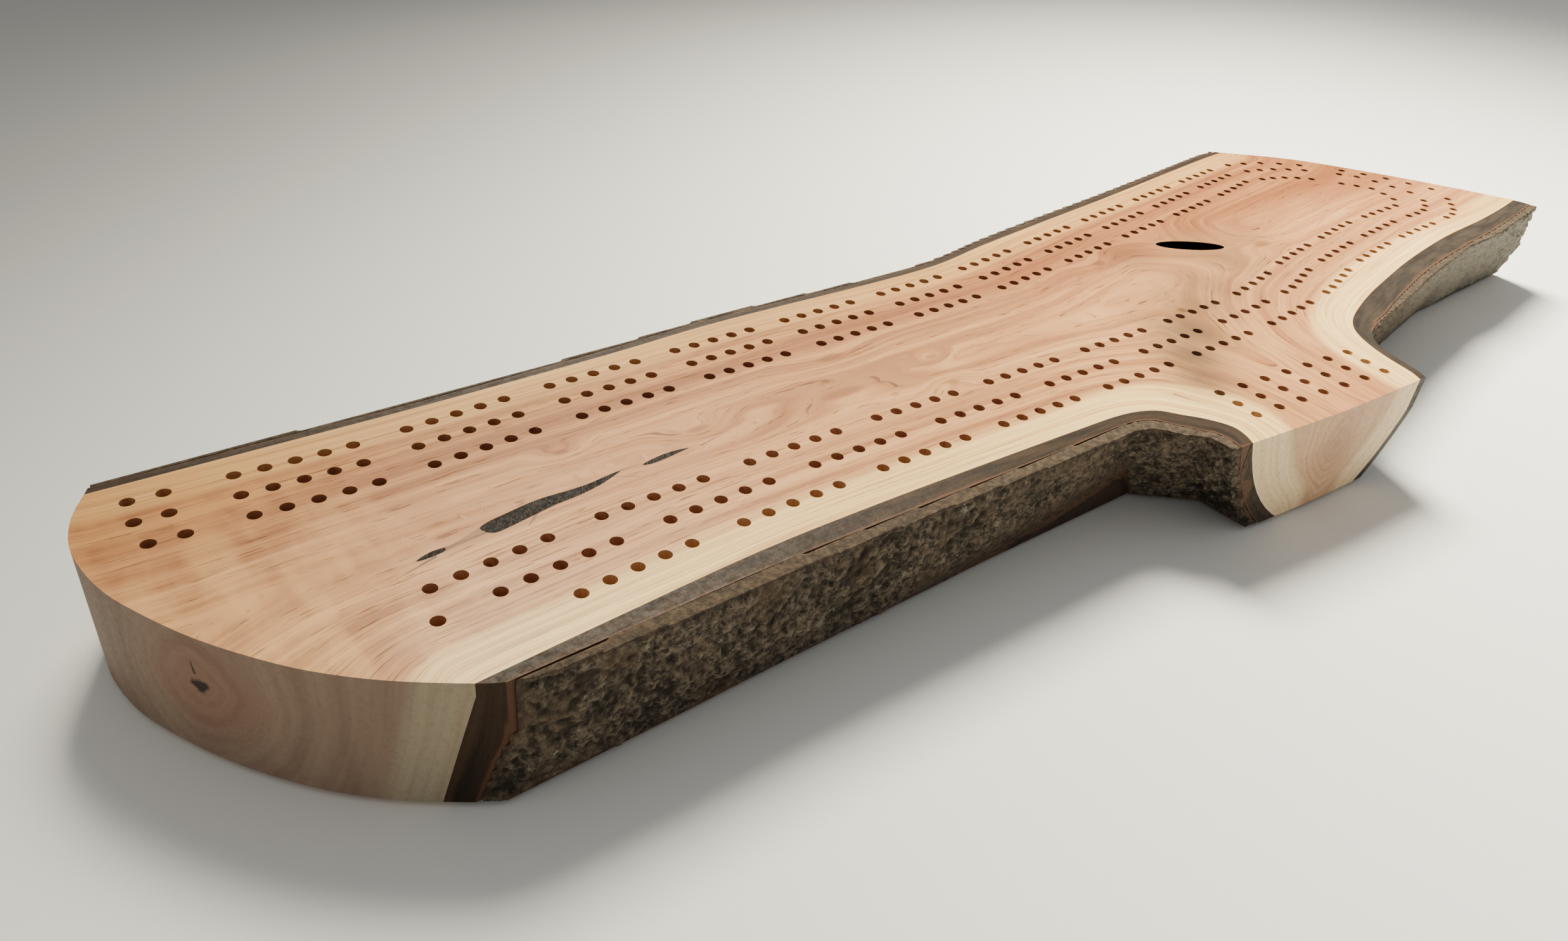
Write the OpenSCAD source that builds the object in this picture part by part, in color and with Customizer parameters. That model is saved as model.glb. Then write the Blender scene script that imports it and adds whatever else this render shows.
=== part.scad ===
// Live-edge cribbage board: one cross-sawn slab with its bark on, drilled for three players.
// +X runs along the board, from its rounded near end to its slanted far end.
// -Y is the side with the branch stub, +Z is up, and the pads stand on z = 0.

/* [Slab] */
// Thickness of the sawn timber
slab_t = 32; // [28:1:40]
// Radius of the branch's near underside, at the timber
branch_r = 63; // [60:0.5:66]
// Radius of the branch's far underside at the stub's end face, at the timber
stub_r = 55.5; // [52:0.5:60]

/* [Bark] */
// Share of the rear bark that is smooth inner bark
rear_inner_share = 0.6; // [0.4:0.05:0.8]
// Thickness of the crusty outer bark on the far front side
far_crust_t = 3; // [1.5:0.5:5]
// Thickness of the thin bark on the stub's far side
stub_bark_t = 3; // [2:0.5:4]

/* [Peg holes] */
// Diameter of a peg hole
hole_d = 3.2; // [3:0.1:3.6]
// Depth of a peg hole
hole_depth = 10; // [8:1:12]
// Holes in each group of a lane
group_holes = 5; // [5:1:5]
// Groups of holes along each straight side
side_groups = 11; // [11:1:11]
// Groups of holes round the far turn
turn_groups = 2; // [2:1:2]
// Games-won counters for each player
games_count = 7; // [5:1:7]

/* [Marks in the timber] */
// Depth of the filled crack and of the knot
mark_depth = 5; // [3:1:8]
// Length of the eye-shaped knot
knot_l = 27; // [20:1:30]
// Width of the eye-shaped knot
knot_w = 8; // [6:1:12]

/* [Pads] */
// Diameter of a stick-on pad
pad_d = 12; // [10:1:14]
// Height of a stick-on pad
pad_h = 1.6; // [1.6:0.1:3]

/* [Peg store] */
// Length of the pocket in the underside
pocket_l = 62; // [58:1:66]
// Width of the pocket
pocket_w = 22; // [21:1:24]
// Depth of the pocket
pocket_depth = 15; // [13:1:17]
// Thickness of the swivel cover
cover_t = 0.6; // [0.5:0.1:0.7]
// Width of the swivel cover
cover_w = 27; // [25:1:30]
// Diameter of the pivot screw's shank
screw_d = 2.8; // [2.5:0.1:3]
// Diameter of the pivot screw's head
screw_head_d = 6.4; // [6:0.2:8]
// Length of the screw's shank above its head
screw_l = 12; // [10:1:14]

/* [Pegs] */
// Length of a peg
peg_l = 34; // [30:1:35]
// Diameter of the turned head
peg_head_d = 4.4; // [4:0.1:4.4]
// Diameter of the shank below the head
peg_shank_d = 2.9; // [2.6:0.1:3]
// Diameter of the tip
peg_tip_d = 2.3; // [2:0.1:2.6]

/* [Hidden] */
$fn = 48;

top_z = pad_h + slab_t;     // playing face
curve_steps = 4;            // chords between two outline points
path_steps = 8;             // chords between two lane points
past = 1;                   // how far a cutter runs past a face
front_tuck = [24, 14];      // how far the front crust's blank runs in under the inner bark
far_tuck = [-12, 12];       // and the far crust's blank

// Outline points, [x, y] on the playing face. Each list is read as one smooth curve.
// The near end, from the rear bark's outer corner round to the front bark's outer corner.
near_end = [[-24.5, 20], [-26.5, 16.5], [-30.5, 9], [-32.8, 0], [-32.6, -9], [-30.6, -19],
            [-26.3, -29.6], [-21, -40], [-14.5, -50], [-7, -59.5], [3, -69], [15.5, -78.2],
            [20.5, -81], [25.5, -83]];
near_front_corner = 11;     // index of the timber's own corner
// The far end, from the rear bark's outer corner to the front bark's outer corner.
far_end = [[440.5, 48.4], [444.5, 44.8], [452, 39], [461, 31.8], [470.5, 22.8], [478.5, 12.8],
           [485, 3.5], [491.5, -6.5], [498.6, -17.8], [505.3, -29.5], [512, -41.6],
           [519, -56], [520.5, -62.5], [521, -65.5]];
far_front_corner = 11;
// Timber edge from the near end to the stub's near corner.
front_wood = [near_end[11], [42, -76.9], [83, -75.3], [117, -76], [152, -77.7], [186, -79.5],
              [203, -80.8], [213, -84], [218, -89.5], [222.5, -95], [225.3, -101],
              [224.5, -105.5], [222.5, -109]];
// The same side where smooth inner bark meets crusty outer bark.
front_inner = [near_end[12], [50, -80.8], [83, -80.7], [117, -81.8], [168, -83.6], [196, -84.2],
               [204, -85.2], [209, -87.8], [211.8, -92], [215, -96.5], [218, -101],
               [218.4, -105], [217.5, -108.6]];
// The same side at the outside of the crust.
front_outer = [near_end[13], [50, -84.4], [83, -84.7], [117, -85.7], [168, -87.6], [192, -88.2],
               [201, -89], [206, -91.5], [208.5, -95.5], [211.5, -99.5], [213.8, -104],
               [214.3, -108.3]];
// Sawn end of the stub.
stub_face = [front_wood[12], [263, -113.6], [303.5, -116.2]];
// Timber edge from the stub's far corner to the far end.
far_wood = [stub_face[2], [305.8, -112.3], [308, -105], [310.8, -98], [315, -91], [320.5, -85.6],
            [330, -81], [349, -75.7], [367, -72], [398, -66.6], [427, -63], [447, -61.4],
            [472, -60.4], [496, -58.6], far_end[11]];
// The same side where smooth inner bark meets the crust.
far_inner = [[303.5 + stub_bark_t, -116.5], [308.8, -112.8], [311, -105.5], [313.8, -99],
             [318, -94], [324, -90.6], [338, -87], [354, -83], [371, -79.6], [390, -76],
             [412, -73], [440, -70.6], [470, -68.4], [498, -65.4], far_end[12]];
crust_from = 5;             // point of far_inner where the crust starts
// Timber edge along the rear, near end to far end, and the bark's outer edge beside it.
rear_wood = [near_end[1], [0, 16], [50, 15.2], [99, 15.7], [133, 17], [161, 16.6], [195, 15.6],
             [228, 15.9], [256, 20.4], [289, 24.8], [336, 30.6], [381, 36.8], [426, 43],
             far_end[1]];
rear_outer = [near_end[0], [0, 19.9], [50, 19.1], [99, 19.8], [133, 21.2], [161, 21],
              [195, 19.5], [228, 19.9], [256, 24.6], [289, 29.2], [336, 34.9], [381, 41],
              [426, 47.4], far_end[0]];

// Lane points: each run starts and ends on a hole. Lane 1 is the outer one on both sides.
left_runs = [
    [[1, 8.2], [29, 6.9], [70, 8.5], [130, 8.7], [200, 8.3], [234, 9.6], [274, 14.4], [330, 21.4],
     [416, 32]],
    [[0, 0], [28, -1.3], [69, 0.1], [120, 0.4], [190, 0], [231, 0.6], [271, 5], [330, 12.4],
     [418, 24.3]],
    [[0, -8.5], [27, -10.2], [68, -8.6], [120, -8], [190, -8.5], [228, -8], [268, -4.3],
     [317, 1.6], [381, 9.3], [418, 15.6]]];
turn_runs = [
    [[431, 32.5], [448, 28], [464, 18], [477, 5], [486, -8], [491, -18], [495.5, -30]],
    [[432, 23.5], [447, 19.5], [461, 11.5], [471, 2], [477.5, -6], [479.5, -16], [480.5, -27.5]],
    [[429, 14], [438, 11.8], [447, 7.5], [455, 0.5], [462, -9], [467.5, -16.5], [463.5, -28.5]]];
right_runs = [
    [[44, -66.9], [73, -65.3], [131, -65.6], [177, -67.3], [222, -69.2], [267, -70.1],
     [297, -70], [312, -69], [338.5, -66.1], [352, -63.2], [379, -57], [420, -52.8],
     [462, -51.5], [476, -48.8], [489, -40.3]],
    [[31, -57.9], [60, -56.1], [103, -55.5], [146, -56.7], [190, -58.6], [248, -60.6],
     [292, -60.5], [320, -58.7], [333, -57], [358, -50.6], [398, -45.3], [439, -42.3],
     [462, -42.2], [475.5, -36]],
    [[20, -49.7], [48, -47.4], [62, -46.7], [130, -46.9], [173, -48.7], [216, -50.3],
     [259, -51.4], [301, -50.8], [314, -49.5], [339, -45.1], [351, -42], [388, -36.8],
     [415, -33.7], [456, -33]]];
start_holes = [[-20, 9.3], [-13, 9], [-20.7, 1.3], [-14, 1.1], [-20.2, -7.4], [-13.3, -7.8]];
finish_hole = [17.2, -59.3];
games_from = [239, -88.1];  // first counter of the rear row
games_step = [10.18, -1.07];
games_row_step = [-0.75, -6.4];
games_rows = 3;

// Leaning faces that trim the sides, [from, to, lean at the bottom], for timber, inner bark and
// crust in turn: along the front, across the crotch beside the stub, and in two faces on the
// far front side.
front_trims = [[[-40, -77.8], [204, -81.8], 5], [[-40, -82.4], [204, -86.4], 6],
               [[-40, -89.6], [204, -88.6], 9]];
crotch_trims = [[[202, -81.1], [223, -99.1], 17], [[199.4, -84.2], [220.4, -102.2], 17],
                [[197.5, -86.5], [218.5, -104.5], 18]];
far_trims = [[[332, -81.5], [450, -62], 8], [[332, -87.6], [450, -68.8], 8],
             [[332, -88.8], [450, -70.5], 8.5]];
far_end_trims = [[[440, -63.5], [530, -58], 6], [[440, -70.4], [530, -65.8], 7.5],
                 [[440, -72.4], [530, -70.6], 8.5]];
branch_axis = [282, 21];    // x of the branch's axis, and its height above the playing face
branch_span = [-140, -60];  // y from end to end
branch_flats = 72;
branch_skins = [0, 4.5, 8]; // bark outside the timber, for timber, inner bark and crust
stub_skins = [0, stub_bark_t, stub_bark_t];
cone_x = 250;               // axis of the stub's far underside
cone_rise = 15;             // and its height above the playing face
cone_y = -120;              // where the flare starts
cone_l = 38.5;              // length of the flare
cone_flare = 38;            // how much the flare widens
corner_y = [-130, -82];     // the corner block that the cone is cut from
corner_l = 90;
split_x = 255;              // plane that parts the near and far inner bark under the stub
reach = 700;                // size of a cutter that has no other end

// Marks in the timber: closed outlines of the filled crack, and the knot's place and turn.
crack_outlines = [
    [[21.2, -40.4], [24.6, -39.1], [27.7, -39.2], [27.4, -40.3], [24, -40.8]],
    [[36.8, -37.3], [38.8, -36], [43.9, -35.1], [51.9, -34.1], [59.2, -34.5], [64.5, -34.6],
     [70, -34], [73.9, -33.8], [70.6, -35.2], [66.6, -36.5], [60.6, -37.5], [54.6, -37.9],
     [48.4, -38.9], [42.4, -39.9], [38.5, -40]],
    [[79.5, -34.4], [83.8, -33.4], [88.5, -33.2], [93, -34], [89.2, -34.6], [85.3, -35.1],
     [81.5, -35.2]]];
knot_at = [329.5, -16.5];
knot_turn = -31;
knot_sides = 32;

pad_places = [[-8, 2], [32, -64], [264, -100], [492, -46], [438, 30]];
pad_edge = 0.3;             // bevel round a pad's foot
pocket_at = [262, -45];
pivot_at = [302, -45];
cover_reach = 61;           // pivot to the centre of the cover's round tip
cover_gap = 0.05;           // running gaps on both faces of the cover
screw_head_t = 0.5;
pivot_clearance = 0.1;
cover_top = pad_h - cover_gap;
cover_bottom = cover_top - cover_t;

neck = 3.4;                 // from the crown of a peg to the start of its shank
head_l = 2.2;               // from the crown to the foot of the head
crown_h = 0.8;              // height of the head's rounded crown
crown_share = 0.6;          // how much of the head or tip is flat
waist_share = 0.8;          // how much of the shank is left in the waist below the head
waist_l = 0.6;
tip_l = 0.8;

peg_centre_x = 267.2;
peg_pitch = 3.9;
peg_layer = 4.1;
peg_count = 9;
first_layer = 5;            // pegs in the lower layer
peg_gap = 0.1;
peg_z = cover_top + peg_head_d / 2 + peg_gap;

// Catmull-Rom curve through points p, with n chords in each gap.
function spline(a, b, c, d, t) =
    (2 * b + (c - a) * t + (2 * a - 5 * b + 4 * c - d) * t * t
     + (3 * b - a - 3 * c + d) * t * t * t) / 2;
function smooth(p, n) = let (m = len(p) - 1)
    concat([for (i = [0 : m - 1], k = [0 : n - 1])
                spline(p[max(i - 1, 0)], p[i], p[i + 1], p[min(i + 2, m)], k / n)],
           [p[m]]);
function closed(p, n) = let (m = len(p))
    [for (i = [0 : m - 1], k = [0 : n - 1])
        spline(p[(i + m - 1) % m], p[i], p[(i + 1) % m], p[(i + 2) % m], k / n)];
function part_of(p, from, to) = [for (i = [from : to]) p[i]];
function back(p) = [for (i = [len(p) - 1 : -1 : 0]) p[i]];
function between(a, b, share) = [for (i = [0 : len(a) - 1]) a[i] + (b[i] - a[i]) * share];

near_curve = smooth(near_end, curve_steps);
far_curve = smooth(far_end, curve_steps);
near_last = len(near_curve) - 1;
far_last = len(far_curve) - 1;
near_cut = near_front_corner * curve_steps;
far_cut = far_front_corner * curve_steps;
near_mid = near_cut + curve_steps;
far_mid = far_cut + curve_steps;

front_wood_c = smooth(front_wood, curve_steps);
front_inner_c = smooth(front_inner, curve_steps);
front_outer_c = smooth(front_outer, curve_steps);
stub_face_c = smooth(stub_face, curve_steps);
far_wood_c = smooth(far_wood, curve_steps);
far_inner_c = smooth(far_inner, curve_steps);
rear_wood_c = smooth(rear_wood, curve_steps);
rear_outer_c = smooth(rear_outer, curve_steps);
rear_mid_c = between(rear_wood_c, rear_outer_c, rear_inner_share);

wood_outline = concat(part_of(near_curve, curve_steps, near_cut), front_wood_c, stub_face_c,
                      far_wood_c, back(part_of(far_curve, curve_steps, far_cut)),
                      back(rear_wood_c));
inner_outline = concat(part_of(near_curve, curve_steps, near_mid), front_inner_c, stub_face_c,
                       far_inner_c, back(part_of(far_curve, curve_steps, far_mid)),
                       back(rear_wood_c));
front_crust_outline = concat(part_of(near_curve, near_cut - curve_steps, near_last),
                             front_outer_c, part_of(stub_face_c, 1, 2),
                             [for (p = back(front_inner_c)) p + front_tuck]);
crust_edge = part_of(far_inner_c, crust_from * curve_steps, len(far_inner_c) - 1);
far_crust_outline = concat(
    [for (i = [0 : len(crust_edge) - 1])
        crust_edge[i] - [0, far_crust_t * min(1, i / curve_steps)]],
    back(part_of(far_curve, far_cut, far_last)),
    [for (p = back(crust_edge)) p + far_tuck]);

left_x = near_end[3][0];
right_x = far_end[13][0];
front_y = far_inner[0][1];
rear_y = far_end[0][1];
middle = [(left_x + right_x) / 2, (front_y + rear_y) / 2];

// Holes spaced along a run in groups of five, with one pitch left out between groups.
function lengths(p) = [for (i = 0, s = 0; i < len(p);
                            s = s + (i < len(p) - 1 ? norm(p[i + 1] - p[i]) : 0), i = i + 1) s];
function along(p, run, s) =
    let (i = max([for (k = [0 : len(run) - 2]) if (run[k] <= s + 0.001) k]))
    p[i] + (p[i + 1] - p[i]) * (s - run[i]) / (run[i + 1] - run[i]);
function run_holes(p, groups) =
    let (c = smooth(p, path_steps), run = lengths(c),
         stride = group_holes + 1,
         pitch = run[len(run) - 1] / (groups * stride - 2))
    [for (g = [0 : groups - 1], k = [0 : group_holes - 1]) along(c, run, (g * stride + k) * pitch)];
games_holes = [for (r = [0 : games_rows - 1], k = [0 : games_count - 1])
                  games_from + games_step * k + games_row_step * r];
all_holes = concat(
    [for (run = left_runs) each run_holes(run, side_groups)],
    [for (run = turn_runs) each run_holes(run, turn_groups)],
    [for (run = right_runs) each run_holes(run, side_groups)],
    start_holes, [finish_hole], games_holes);

module centred() translate([-middle[0], -middle[1], 0]) children();
module plate(points) translate([0, 0, pad_h]) linear_extrude(slab_t) polygon(points);

// Everything outside a line on the playing face, trim = [from, to, lean]: the cut face leans in
// by lean at the slab's bottom. It runs from start along the line, or from far behind it.
module outside(trim, start = -reach) {
    run = trim[1] - trim[0];
    translate([trim[0][0], trim[0][1], top_z]) rotate([0, 0, atan2(run[1], run[0])])
        rotate([atan(trim[2] / slab_t), 0, 0])
            translate([start, -reach, -reach]) cube([2 * reach, reach, 2 * reach]);
}

// The branch's near underside, a round of flats whose axis runs out of the board above the stub.
module branch(r) {
    translate([branch_axis[0], branch_span[1], top_z + branch_axis[1]]) rotate([90, 0, 0])
        linear_extrude(branch_span[1] - branch_span[0])
            polygon([for (k = [0 : branch_flats - 1]) let (a = 360 * k / branch_flats)
                r * [cos(a), sin(a)]]);
}

// Corner block under the stub's far side, outside a cone that flares into the trunk.
module stub_cut(r) {
    difference() {
        translate([cone_x, corner_y[0], -past])
            cube([corner_l, corner_y[1] - corner_y[0], top_z]);
        translate([cone_x, cone_y, top_z + cone_rise]) rotate([-90, 0, 0])
            cylinder(h = cone_l, r1 = r, r2 = r + cone_flare, $fn = 96);
        translate([cone_x, corner_y[0] - past, top_z + cone_rise]) rotate([-90, 0, 0])
            cylinder(h = cone_y - corner_y[0] + 2 * past, r = r, $fn = 96);
    }
}

// All that is cut off the sides of one layer: 0 for timber, 1 with inner bark, 2 with crust.
module side_cuts(layer) {
    difference() {
        intersection() {
            outside(front_trims[layer]);
            outside(crotch_trims[layer]);
        }
        branch(branch_r + branch_skins[layer]);
    }
    intersection() {
        outside(far_trims[layer], 0);
        outside(far_end_trims[layer]);
    }
    stub_cut(stub_r + stub_skins[layer]);
}

module wood_body() {
    difference() {
        plate(wood_outline);
        side_cuts(0);
    }
}

module peg_holes() {
    for (p = all_holes)
        translate([p[0], p[1], top_z - hole_depth]) cylinder(h = hole_depth + past, d = hole_d);
}

module pocket() {
    half = (pocket_l - pocket_w) / 2;
    translate([pocket_at[0], pocket_at[1], pad_h - past]) linear_extrude(pocket_depth + past) {
        square([2 * half, pocket_w], center = true);
        for (side = [-1, 1]) translate([side * half, 0]) circle(d = pocket_w);
    }
}

module crack_shape() {
    for (o = crack_outlines)
        translate([0, 0, top_z - mark_depth]) linear_extrude(mark_depth)
            polygon(closed(o, curve_steps));
}

module knot_shape() {
    translate([knot_at[0], knot_at[1], top_z - mark_depth]) rotate([0, 0, knot_turn])
        linear_extrude(mark_depth)
            polygon([for (k = [0 : knot_sides - 1]) let (a = 360 * k / knot_sides)
                [knot_l / 2 * cos(a), knot_w / 2 * sin(a)]]);
}

module slab() {
    color([0.80, 0.63, 0.49]) centred() difference() {
        wood_body();
        peg_holes();
        pocket();
        crack_shape();
        knot_shape();
        translate([pivot_at[0], pivot_at[1], pad_h - past])
            cylinder(h = screw_l + past, d = screw_d);
    }
}

// Timber and smooth inner bark together.
module inner_body() {
    difference() {
        plate(inner_outline);
        side_cuts(1);
    }
}

// The inner bark on one side of the stub: near side for side = -1, far side for side = 1.
module inner_bark(side) {
    difference() {
        inner_body();
        wood_body();
        translate([side < 0 ? split_x : split_x - reach, -reach / 2, 0]) cube(reach);
    }
}

module front_inner_bark() color([0.36, 0.30, 0.25]) centred() inner_bark(-1);
module far_inner_bark() color([0.42, 0.37, 0.31]) centred() inner_bark(1);

module front_outer_bark() {
    color([0.25, 0.22, 0.18]) centred() difference() {
        plate(front_crust_outline);
        side_cuts(2);
        inner_body();
    }
}

module far_outer_bark() {
    color([0.27, 0.25, 0.20]) centred() difference() {
        plate(far_crust_outline);
        side_cuts(2);
        inner_body();
    }
}

module rear_inner_bark() {
    color([0.33, 0.29, 0.25]) centred() plate(concat(back(rear_wood_c), rear_mid_c));
}

module rear_outer_bark() {
    color([0.25, 0.22, 0.18]) centred() plate(concat(back(rear_mid_c), rear_outer_c));
}

module crack_fill() color([0.10, 0.08, 0.07]) centred() crack_shape();
module eye_knot() color([0.36, 0.25, 0.18]) centred() knot_shape();

module pad(place) {
    color([0.09, 0.09, 0.09]) centred() translate([place[0], place[1], 0]) rotate_extrude()
        polygon([[0, 0], [pad_d / 2 - pad_edge, 0], [pad_d / 2, pad_edge], [pad_d / 2, pad_h],
                 [0, pad_h]]);
}

module store_cover() {
    color([0.78, 0.62, 0.32]) centred()
        translate([pivot_at[0], pivot_at[1], cover_bottom]) difference() {
            linear_extrude(cover_t) {
                translate([-cover_reach, -cover_w / 2]) square([cover_reach, cover_w]);
                for (x = [0, -cover_reach]) translate([x, 0]) circle(d = cover_w);
            }
            translate([0, 0, -past])
                cylinder(h = cover_t + 2 * past, d = screw_d + 2 * pivot_clearance);
        }
}

module cover_screw() {
    head_top = cover_bottom - cover_gap;
    color([0.78, 0.62, 0.32]) centred() translate([pivot_at[0], pivot_at[1], 0]) {
        translate([0, 0, head_top - screw_head_t]) cylinder(h = screw_head_t, d = screw_head_d);
        translate([0, 0, head_top]) cylinder(h = pad_h - head_top + screw_l, d = screw_d);
    }
}

// Peg number n of the nine in the store, alternate pegs lying head to tail.
module peg(n, tint) {
    lower = n < first_layer;
    count = lower ? first_layer : peg_count - first_layer;
    slot = (lower ? n : n - first_layer) - (count - 1) / 2;
    turn = (n % 2 == 0) ? 1 : -1;
    r = peg_head_d / 2;
    color(tint) centred()
        translate([peg_centre_x, pocket_at[1] + slot * peg_pitch,
                   peg_z + (lower ? 0 : peg_layer)])
            rotate([0, turn * 90, 0]) translate([0, 0, -peg_l / 2]) rotate_extrude($fn = 32)
                polygon([[0, 0], [r * crown_share, 0], [r, crown_h], [r, head_l],
                         [peg_shank_d / 2 * waist_share, neck - waist_l],
                         [peg_shank_d / 2, neck], [peg_tip_d / 2, peg_l - tip_l],
                         [peg_tip_d / 2 * crown_share, peg_l], [0, peg_l]]);
}

red = [0.62, 0.12, 0.10];
blue = [0.12, 0.25, 0.52];
green = [0.13, 0.40, 0.20];

slab();
front_inner_bark();
front_outer_bark();
far_inner_bark();
far_outer_bark();
rear_inner_bark();
rear_outer_bark();
crack_fill();
eye_knot();
pad(pad_places[0]);  // pad_near_rear
pad(pad_places[1]);  // pad_near_front
pad(pad_places[2]);  // pad_stub
pad(pad_places[3]);  // pad_far_front
pad(pad_places[4]);  // pad_far_rear
store_cover();
cover_screw();
peg(0, red);  // peg_red_a
peg(1, red);  // peg_red_b
peg(2, red);  // peg_red_c
peg(3, blue);  // peg_blue_a
peg(4, blue);  // peg_blue_b
peg(5, blue);  // peg_blue_c
peg(6, green);  // peg_green_a
peg(7, green);  // peg_green_b
peg(8, green);  // peg_green_c
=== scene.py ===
# %% [markdown]
# # A live-edge cribbage board
#
# The board is one slab sawn lengthwise out of a small log. Its bark is still on both long edges,
# a stub of a side branch sticks out of the front, and 388 holes are drilled in the face. The CAD
# frame gives every size. This script gives each piece its finished mesh and its finish.

# %% Tools and the CAD frame
import math

import bpy
import numpy as np
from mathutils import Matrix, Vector
from mathutils.bvhtree import BVHTree


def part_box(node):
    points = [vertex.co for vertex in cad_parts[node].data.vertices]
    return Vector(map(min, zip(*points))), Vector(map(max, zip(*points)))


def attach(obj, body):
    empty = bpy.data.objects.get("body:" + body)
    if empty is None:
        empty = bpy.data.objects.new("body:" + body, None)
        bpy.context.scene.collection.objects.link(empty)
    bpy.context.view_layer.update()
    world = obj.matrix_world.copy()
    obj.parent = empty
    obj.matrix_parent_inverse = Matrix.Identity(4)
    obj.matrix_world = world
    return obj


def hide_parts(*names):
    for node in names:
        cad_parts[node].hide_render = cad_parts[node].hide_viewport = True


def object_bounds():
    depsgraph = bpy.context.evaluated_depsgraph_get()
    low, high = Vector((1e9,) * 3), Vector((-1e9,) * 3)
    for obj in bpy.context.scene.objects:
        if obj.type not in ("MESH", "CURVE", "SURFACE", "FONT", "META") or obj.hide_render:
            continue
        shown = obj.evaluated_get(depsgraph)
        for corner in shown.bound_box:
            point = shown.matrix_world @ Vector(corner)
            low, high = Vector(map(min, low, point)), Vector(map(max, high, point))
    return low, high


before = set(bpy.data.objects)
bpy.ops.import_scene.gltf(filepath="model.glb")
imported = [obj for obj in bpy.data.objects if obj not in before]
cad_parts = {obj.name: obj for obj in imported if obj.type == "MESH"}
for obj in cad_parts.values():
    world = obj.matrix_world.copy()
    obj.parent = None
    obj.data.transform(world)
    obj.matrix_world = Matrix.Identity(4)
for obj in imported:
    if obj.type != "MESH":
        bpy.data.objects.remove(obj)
cad_low, cad_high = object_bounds()
MM = 0.001
slab_low, slab_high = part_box("slab")
TOP = slab_high[2]
BOTTOM = slab_low[2]
print("board", [round((h - l) / MM, 1) for l, h in zip(cad_low, cad_high)], "mm")

# %% [markdown]
# ## Selecting and copying
#
# An operator works on whatever is selected, and the CAD nodes arrive selected. So everything is
# deselected before each step, and one object at a time is made active. A CAD node is loose
# triangles, so a piece that has to be smoothed or bent starts as a copy with its points merged.

# %% Selection helpers
def only(obj):
    """Make obj the one selected and active object."""
    if bpy.context.mode != "OBJECT":
        bpy.ops.object.mode_set(mode="OBJECT")
    bpy.ops.object.select_all(action="DESELECT")
    obj.select_set(True)
    bpy.context.view_layer.objects.active = obj


def bench_copy(node, name=None):
    """A merged copy of a CAD node, which stands for the node from now on."""
    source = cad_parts[node]
    piece = bpy.data.objects.new(name or node + "_piece", source.data.copy())
    bpy.context.scene.collection.objects.link(piece)
    only(piece)
    bpy.ops.object.mode_set(mode="EDIT")
    bpy.ops.mesh.select_all(action="SELECT")
    bpy.ops.mesh.customdata_custom_splitnormals_clear()
    bpy.ops.mesh.remove_doubles(threshold=0.002 * MM)
    bpy.ops.object.mode_set(mode="OBJECT")
    piece.data.materials.clear()
    return piece


def keep_as(piece, node, body):
    """Hang the piece on its body and hide the CAD node that it stands for."""
    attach(piece, body)
    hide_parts(node)


def smooth_by_angle(piece, degrees):
    only(piece)
    bpy.ops.object.shade_smooth_by_angle(angle=math.radians(degrees))


def tree_of(*objects):
    """A search tree over the faces of several objects."""
    points = []
    faces = []
    for obj in objects:
        start = len(points)
        points += [v.co.copy() for v in obj.data.vertices]
        faces += [[start + i for i in p.vertices] for p in obj.data.polygons]
    return BVHTree.FromPolygons(points, faces)


def coordinates(piece):
    co = np.empty(len(piece.data.vertices) * 3, dtype=np.float32)
    piece.data.vertices.foreach_get("co", co)
    return co.reshape(-1, 3)


def store(piece, name, *parts):
    """Store up to three values for each point of the piece, for its material to read."""
    values = np.zeros((len(piece.data.vertices), 3), dtype=np.float32)
    for number, part in enumerate(parts):
        values[:, number] = part
    layer = piece.data.attributes.new(name, "FLOAT_VECTOR", "POINT")
    layer.data.foreach_set("vector", values.ravel())


def ramp(values, low, high):
    """0 below low, 1 above high, smooth between."""
    t = np.clip((values - low) / (high - low), 0, 1)
    return t * t * (3 - 2 * t)


# %% [markdown]
# ## A closer net of faces on the timber
#
# The grain of this board isn't a flat pattern: it follows the bark, runs out into the branch stub
# and circles the pith on the sawn ends. A material can follow that if every point knows how far it
# is from the bark and from the pith. The CAD faces are too large to carry such values, so the
# copy is sliced into strips along X, Y and Z with Bisect, which adds points and moves none.

# %% Slice a piece into a net
def slice_net(piece, axis, step):
    """Bisect the piece at every step along an axis, 0 for X, 1 for Y and 2 for Z."""
    co = coordinates(piece)
    low = co[:, axis].min()
    high = co[:, axis].max()
    normal = [0.0, 0.0, 0.0]
    normal[axis] = 1.0
    only(piece)
    bpy.ops.object.mode_set(mode="EDIT")
    for k in range(1, int((high - low) / step)):
        place = [0.0, 0.0, 0.0]
        place[axis] = float(low) + k * step
        bpy.ops.mesh.select_all(action="SELECT")
        bpy.ops.mesh.bisect(plane_co=place, plane_no=normal)
    bpy.ops.object.mode_set(mode="OBJECT")


BARK_NODES = ["front_inner_bark", "far_inner_bark", "rear_inner_bark"]
CRUST_NODES = ["front_outer_bark", "far_outer_bark", "rear_outer_bark"]
PLAN_STEP = 4.6 * MM
LAYER_STEP = 6.5 * MM
timber = bench_copy("slab", "timber")
slice_net(timber, 0, PLAN_STEP)
slice_net(timber, 1, PLAN_STEP)
slice_net(timber, 2, LAYER_STEP)
print("timber", len(timber.data.vertices), "points", len(timber.data.polygons), "faces")

# %% [markdown]
# ## Growth values
#
# The pith is the middle of the log. Here it wanders along the board and sends one branch out into
# the stub. Each point of the timber stores its distance from the pith, and a ring value from 0 at
# the pith to 1 under the bark. A second store says how far inside the sapwood's edge it lies.

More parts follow.
